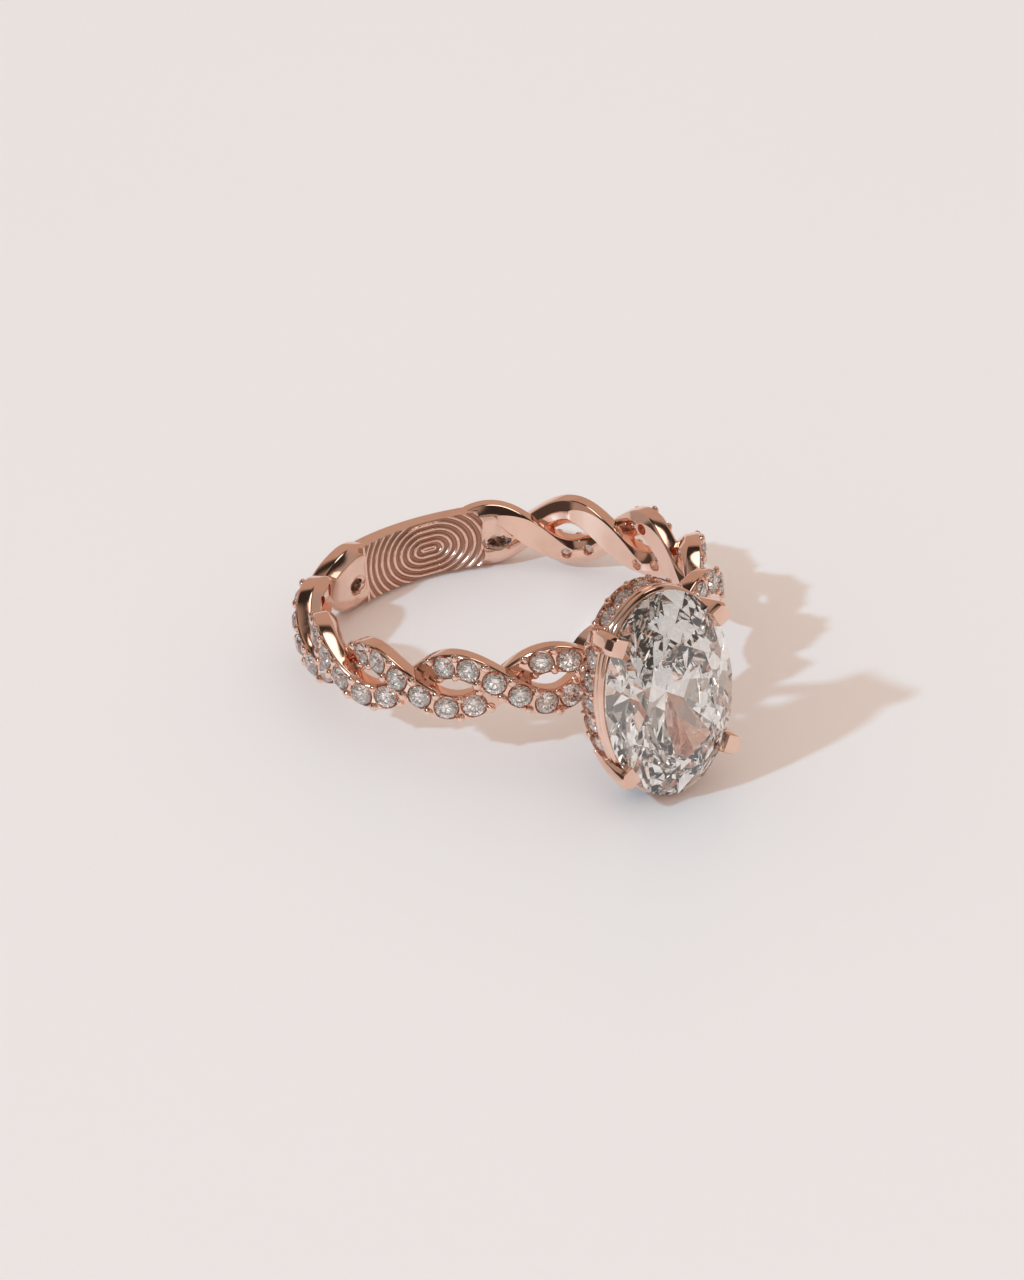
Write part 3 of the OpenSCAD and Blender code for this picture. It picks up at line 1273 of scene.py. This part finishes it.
@dataclass(frozen=True)
class GemFinish:
    """Clear cut gem, faintly tinted in places."""

    colour: Colour = (1.0, 0.945, 0.88)
    clear: Colour = (1.0, 1.0, 1.0)
    index: float = 2.417
    cloud: float = 350.0

    def material(self, name: str) -> bpy.types.Material:
        """Makes the node material.

        Args:
            name: Name of the material.

        Returns:
            The material.
        """
        paint = Paint(name, {"Transmission Weight": 1.0, "IOR": self.index, "Roughness": 0.0})
        paint.tone(paint.noise(self.cloud), self.colour, self.clear)
        return paint.material


@dataclass(frozen=True)
class FloorFinish:
    """Pale satin studio floor with a faint unevenness."""

    colour: Colour = (0.86, 0.83, 0.82)
    shade: Colour = (0.85, 0.81, 0.80)
    roughness: float = 0.32
    wear: float = 0.06
    cloud: float = 14.0

    def material(self, name: str) -> bpy.types.Material:
        """Makes the node material.

        Args:
            name: Name of the material.

        Returns:
            The material.
        """
        paint = Paint(name, {})
        cloud = paint.noise(self.cloud)
        paint.tone(cloud, self.shade, self.colour)
        paint.feed("Roughness", paint.spread(cloud, target=(self.roughness, self.roughness + self.wear)))
        return paint.material


# Pieces


def off_floor(place: Matrix, radius: float) -> Matrix:
    """Lifts a place so that a ball there stays above the floor.

    Args:
        place: Matrix in the ring's own frame.
        radius: Radius of the ball.

    Returns:
        The lifted matrix.
    """
    row = SIZES.to_row()
    up = (row.to_3x3().inverted() @ Vector((0, 0, 1))).normalized()
    height = (row @ place.translation).z / MM
    return Matrix.Translation(up * max(0.0, radius - height)) @ place


@dataclass
class Ring:
    """All the pieces of the ring."""

    shank: Shank
    head: Head
    ornament: Ornament = field(default_factory=Ornament)
    cut: Cut = Cut()
    bright_cut: float = 0.07
    seat_kink: float = 0.55
    seat_rim: float = 0.03
    seat_wall: float = 0.2
    seat_mouth: float = 0.6
    shank_cut: Point = (0.2, 0.1)
    halo_cut: Point = (0.1, 0.05)
    stroke_tip: float = 0.01
    stroke_r: float = 0.4
    stroke_deep: float = 0.36
    bore_half: float = 6.0
    bead_size: float = 1.12
    bead_range: float = 0.18
    bead_flat: float = 0.85
    bead_lift: float = 1.3
    seat_sides: int = 24
    bore_sides: int = 256
    oval_sides: int = 96
    oval_seat_sides: int = 64
    small_sides: int = 16
    sharp_metal: float = 28.0
    sharp_beads: float = 60.0

    def seat(self, d: float, deep: float, wide: float) -> BMesh:
        """Makes the cutter for a small stone's seat and the hole behind it, girdle at z = 0.

        Args:
            d: Diameter of the stone.
            deep: Depth of the hole.
            wide: How far the sloping bright cut reaches past the stone.

        Returns:
            A closed solid of revolution.
        """
        r, azure, low = d / 2 + SIZES.seat_gap, SIZES.azure_d / 2, self.bright_cut
        wall, mouth, rim = self.seat_wall, self.seat_mouth, self.seat_rim
        profile = [(0, -deep), (azure, -deep), (azure, -self.seat_kink), (r, -low), (r + wide, rim)]
        return turned(profile + [(r + wide, wall), (r, wall), (r, mouth), (0, mouth)], self.seat_sides)

    def graver(self) -> BMesh:
        """Makes the cutter for one stroke of the graver, a pyramid with its tip into the metal.

        Returns:
            A closed solid.
        """
        bm, tip, r, deep = bmesh.new(), self.stroke_tip, self.stroke_r, self.stroke_deep
        bmesh.ops.create_cone(bm, cap_ends=True, segments=4, radius1=tip, radius2=r, depth=deep)
        return bm

    def gem(self, rx: float, ry: float, sides: int, grow: float = 0.0) -> BMesh:
        """Makes the main stone or its seat, with its table towards the head's end.

        Args:
            rx: Half width across the ring's axis.
            ry: Half width along the ring's axis.
            sides: Number of sides of the girdle.
            grow: How much larger it is all round, for a seat.

        Returns:
            A closed solid.
        """
        bm, head = self.cut.solid(rx, ry, sides, grow), Vector((1, 0, 0))
        stand = matrix_of(Vector((0, 1, 0)), Vector((0, 0, 1)), head, head * SIZES.girdle_x)
        bmesh.ops.transform(bm, matrix=stand, verts=bm.verts)
        return bm

    def metal(self, finishes: Sequence[bpy.types.Material]) -> bpy.types.Object:
        """Makes the cast and soldered metal, with its seats, holes, pits and ornament cut.

        Args:
            finishes: Materials in the order of Finish.

        Returns:
            The object.
        """
        s = SIZES
        whole = to_object(self.shank.back(), "ring_gold")
        solids: list[BMesh] = []
        for half in Half:
            for part in (self.shank.strand(1), self.shank.strand(-1), self.shank.web()):
                bmesh.ops.transform(part, matrix=half.matrix(), verts=part.verts)
                solids.append(part)
        solids += [self.head.base(), self.head.band(), self.head.rail()]
        solids += [self.head.claw(sy, sz) for sy in (-1, 1) for sz in (-1, 1)]
        for part in solids:
            combine(whole, part, Operation.JOIN)
        h, (behind, slope), (halo_behind, halo_slope) = self.bore_half, self.shank_cut, self.halo_cut
        cuts = [
            turned([(0, -h), (s.finger_r, -h), (s.finger_r, h), (0, h)], self.bore_sides),
            self.gem(s.stone_w / 2, s.stone_l / 2, self.oval_seat_sides, s.seat_gap),
            copies(self.seat(s.shank_stone_d, s.strand_t + behind, slope), self.shank.stone_places()),
            copies(self.seat(s.halo_stone_d, s.band_t + halo_behind, halo_slope), self.head.stone_places()),
            copies(self.graver(), self.shank.graver_places()),
            *self.shank.pits(),
            self.ornament.cutter(),
        ]
        for part in cuts:
            combine(whole, part, Operation.CUT)
        whole.data.materials.clear()
        for face in whole.data.polygons:
            if self.ornament.holds(face.center):
                face.material_index = Finish.ENGRAVED
            elif all(self.shank.in_pit(whole.data.vertices[v].co) for v in face.vertices):
                face.material_index = Finish.CAST
        log.info("metal: %d faces", len(whole.data.polygons))
        return finish_piece(whole, finishes, self.sharp_metal)

    def beads(self, gold: bpy.types.Material) -> bpy.types.Object:
        """Makes the beads that hold the small stones, each a little different by sines of its number.

        Args:
            gold: Material of the beads.

        Returns:
            The object.
        """
        parts, size, vary = [], self.bead_size, self.bead_range
        for owner in (self.shank, self.head):
            bead = bmesh.new()
            bmesh.ops.create_icosphere(bead, subdivisions=2, radius=owner.bead_r)
            places = [
                off_floor(p, self.bead_lift * owner.bead_r) @ Matrix.Diagonal(
                    (size + vary * math.sin(7.3 * k), size + vary * math.sin(4.1 * k), self.bead_flat, 1)
                )
                for k, p in enumerate(owner.bead_places())
            ]
            parts.append(copies(bead, places))
        return finish_piece(to_object(merged(parts), "setting_beads"), [gold], self.sharp_beads)

    def main_stone(self, gem: bpy.types.Material) -> bpy.types.Object:
        """Returns the oval stone."""
        bm = self.gem(SIZES.stone_w / 2, SIZES.stone_l / 2, self.oval_sides)
        return finish_piece(to_object(bm, "oval_stone"), [gem], None)

    def small_stones(
        self, name: str, d: float, places: Sequence[Matrix], gem: bpy.types.Material
    ) -> bpy.types.Object:
        """Makes a field of small round brilliants.

        Args:
            name: Name of the object.
            d: Diameter of a stone.
            places: One matrix for each stone.
            gem: Material of the stones.

        Returns:
            The object.
        """
        bm = copies(self.cut.solid(d / 2, d / 2, self.small_sides), places)
        log.info("%s: %d stones", name, len(places))
        return finish_piece(to_object(bm, name), [gem], None)


# Scene


@dataclass(frozen=True)
class Card:
    """A round patch of the surroundings, with a soft edge."""

    azimuth: float
    elevation: float
    spread: float
    edge: float
    colour: Colour

    @property
    def towards(self) -> Vector:
        """Returns the direction of its middle."""
        a, e = math.radians(self.azimuth), math.radians(self.elevation)
        return Vector((math.cos(e) * math.cos(a), math.cos(e) * math.sin(a), math.sin(e)))


@dataclass
class Studio:
    """Floor, lights and camera."""

    camera_mm: Triple = (184.088, -116.5453, 136.2373)
    right: Triple = (0.53061, 0.84762, -0.00111)
    down: Triple = (0.44323, -0.27859, -0.85202)
    lens: float = 105.0
    sensor: float = 24.0
    clip: Point = (0.01, 10.0)
    floor_half: float = 1.5
    key: Card = Card(-86.0, 37.7, 1.5, 0.0, (0.44, 0.767, 0.975))
    key_strength: float = 1.65
    turns: int = 14
    fill: Colour = (0.855, 0.73, 0.655)
    ambient: Colour = (0.42, 0.35, 0.31)
    cards: tuple[Card, ...] = (
        Card(140, 20, 45, 3, (0.52, 0.37, 0.295)),
        Card(0, 90, 42, 4, (0.035, 0.028, 0.024)),
        Card(-110, 22, 36, 4, (0.07, 0.052, 0.042)),
        Card(-18, 30, 32, 5, (0.34, 0.29, 0.25)),
        Card(-115, 66, 20, 6, (0.4, 0.3, 0.245)),
        Card(120, 70, 11.5, 1.5, (2.3, 2.0, 1.8)),
        Card(25, 40, 7, 1, (1.6, 1.5, 1.4)),
        Card(-40, 12, 9, 1, (1.4, 1.3, 1.2)),
    )

    def floor(self) -> bpy.types.Object:
        """Makes the plain pale floor.

        Returns:
            The object.
        """
        bm = bmesh.new()
        bmesh.ops.create_grid(bm, x_segments=4, y_segments=4, size=self.floor_half)
        thing = to_object(bm, "floor")
        thing.data.materials.append(FloorFinish().material("floor"))
        return thing

    def light(self) -> None:
        """Adds the key light, from the left."""
        data = bpy.data.lights.new("key", "SUN")
        data.energy = self.key_strength
        data.angle = math.radians(2 * self.key.spread)
        data.color = self.key.colour
        lamp = bpy.data.objects.new("key", data)
        lamp.rotation_euler = self.key.towards.to_track_quat("Z", "Y").to_euler()
        bpy.context.scene.collection.objects.link(lamp)

    def surroundings(self) -> None:
        """Paints what the ring mirrors, with bright and dark cards, and the even fill on what is matt."""
        world = bpy.data.worlds.new("studio")
        bpy.context.scene.world = world
        world.use_nodes = True
        sky = Nodes(world.node_tree)
        towards = sky.add("ShaderNodeTexCoord", {}, {}).outputs["Generated"]
        shown = sky.add("ShaderNodeRGB", {}, {}).outputs["Color"]
        shown.default_value = (*self.ambient, 1)
        for card in self.cards:
            dot = sky.add("ShaderNodeVectorMath", {0: towards}, {1: card.towards}, operation="DOT_PRODUCT")
            outer, inner = (math.cos(math.radians(card.spread + way * card.edge)) for way in (1, -1))
            share = sky.spread(dot.outputs["Value"], (outer, inner), kind="SMOOTHSTEP")
            shown = sky.mix(share, shown, card.colour)
        # A ray that has left a matt surface has a diffuse depth of 1 or more
        depth = sky.add("ShaderNodeLightPath", {}, {}).outputs["Diffuse Depth"]
        matt = sky.add("ShaderNodeMath", {0: depth}, {1: 0.5}, operation="GREATER_THAN")
        light = sky.mix(matt.outputs["Value"], shown, self.fill)
        sky.tree.links.new(light, sky.tree.nodes["Background"].inputs["Color"])

    def light_paths(self) -> None:
        """Lets light turn often enough inside the stones, and keeps the colours plain."""
        paths = bpy.context.scene.cycles
        paths.max_bounces = paths.glossy_bounces = paths.transmission_bounces = self.turns
        bpy.context.scene.view_settings.view_transform = "Standard"

    def camera(self) -> None:
        """Adds the camera at the photograph's angle."""
        data = bpy.data.cameras.new("camera")
        data.sensor_width = self.sensor
        data.lens = self.lens
        data.clip_start, data.clip_end = self.clip
        cam = bpy.data.objects.new("camera", data)
        right, up = Vector(self.right).normalized(), -Vector(self.down).normalized()
        cam.matrix_world = matrix_of(right, up, right.cross(up), Vector(self.camera_mm) * MM)
        bpy.context.scene.collection.objects.link(cam)
        bpy.context.scene.camera = cam


def main() -> None:
    """Builds the scene."""
    logging.basicConfig(level=logging.INFO)
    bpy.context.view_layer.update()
    gold = GoldFinish().material("rose_gold")
    finishes = [gold, EngravingWithPaintedShade().material("engraved_gold_painted_shade"), CastFinish().material("cast_gold")]
    clear = GemFinish().material("gem")
    # The small stones' faint pink tint, in places, is a painted reflection of the rose gold round them
    small = GemFinish(colour=(1.0, 0.955, 0.935)).material("small_gem")
    ring = Ring(Shank(Twist()), Head())
    metal = ring.metal(finishes)
    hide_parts("ring_metal")
    beads = ring.beads(gold)
    stone = ring.main_stone(clear)
    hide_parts("main_stone")
    field_of = ring.small_stones("shank_gems", SIZES.shank_stone_d, ring.shank.stone_places(), small)
    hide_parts("shank_stones")
    halo = ring.small_stones("halo_gems", SIZES.halo_stone_d, ring.head.stone_places(), small)
    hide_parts("halo_stones")
    studio = Studio()
    studio.floor()
    studio.light()
    studio.surroundings()
    studio.camera()
    studio.light_paths()


if __name__ == "__main__":
    main()
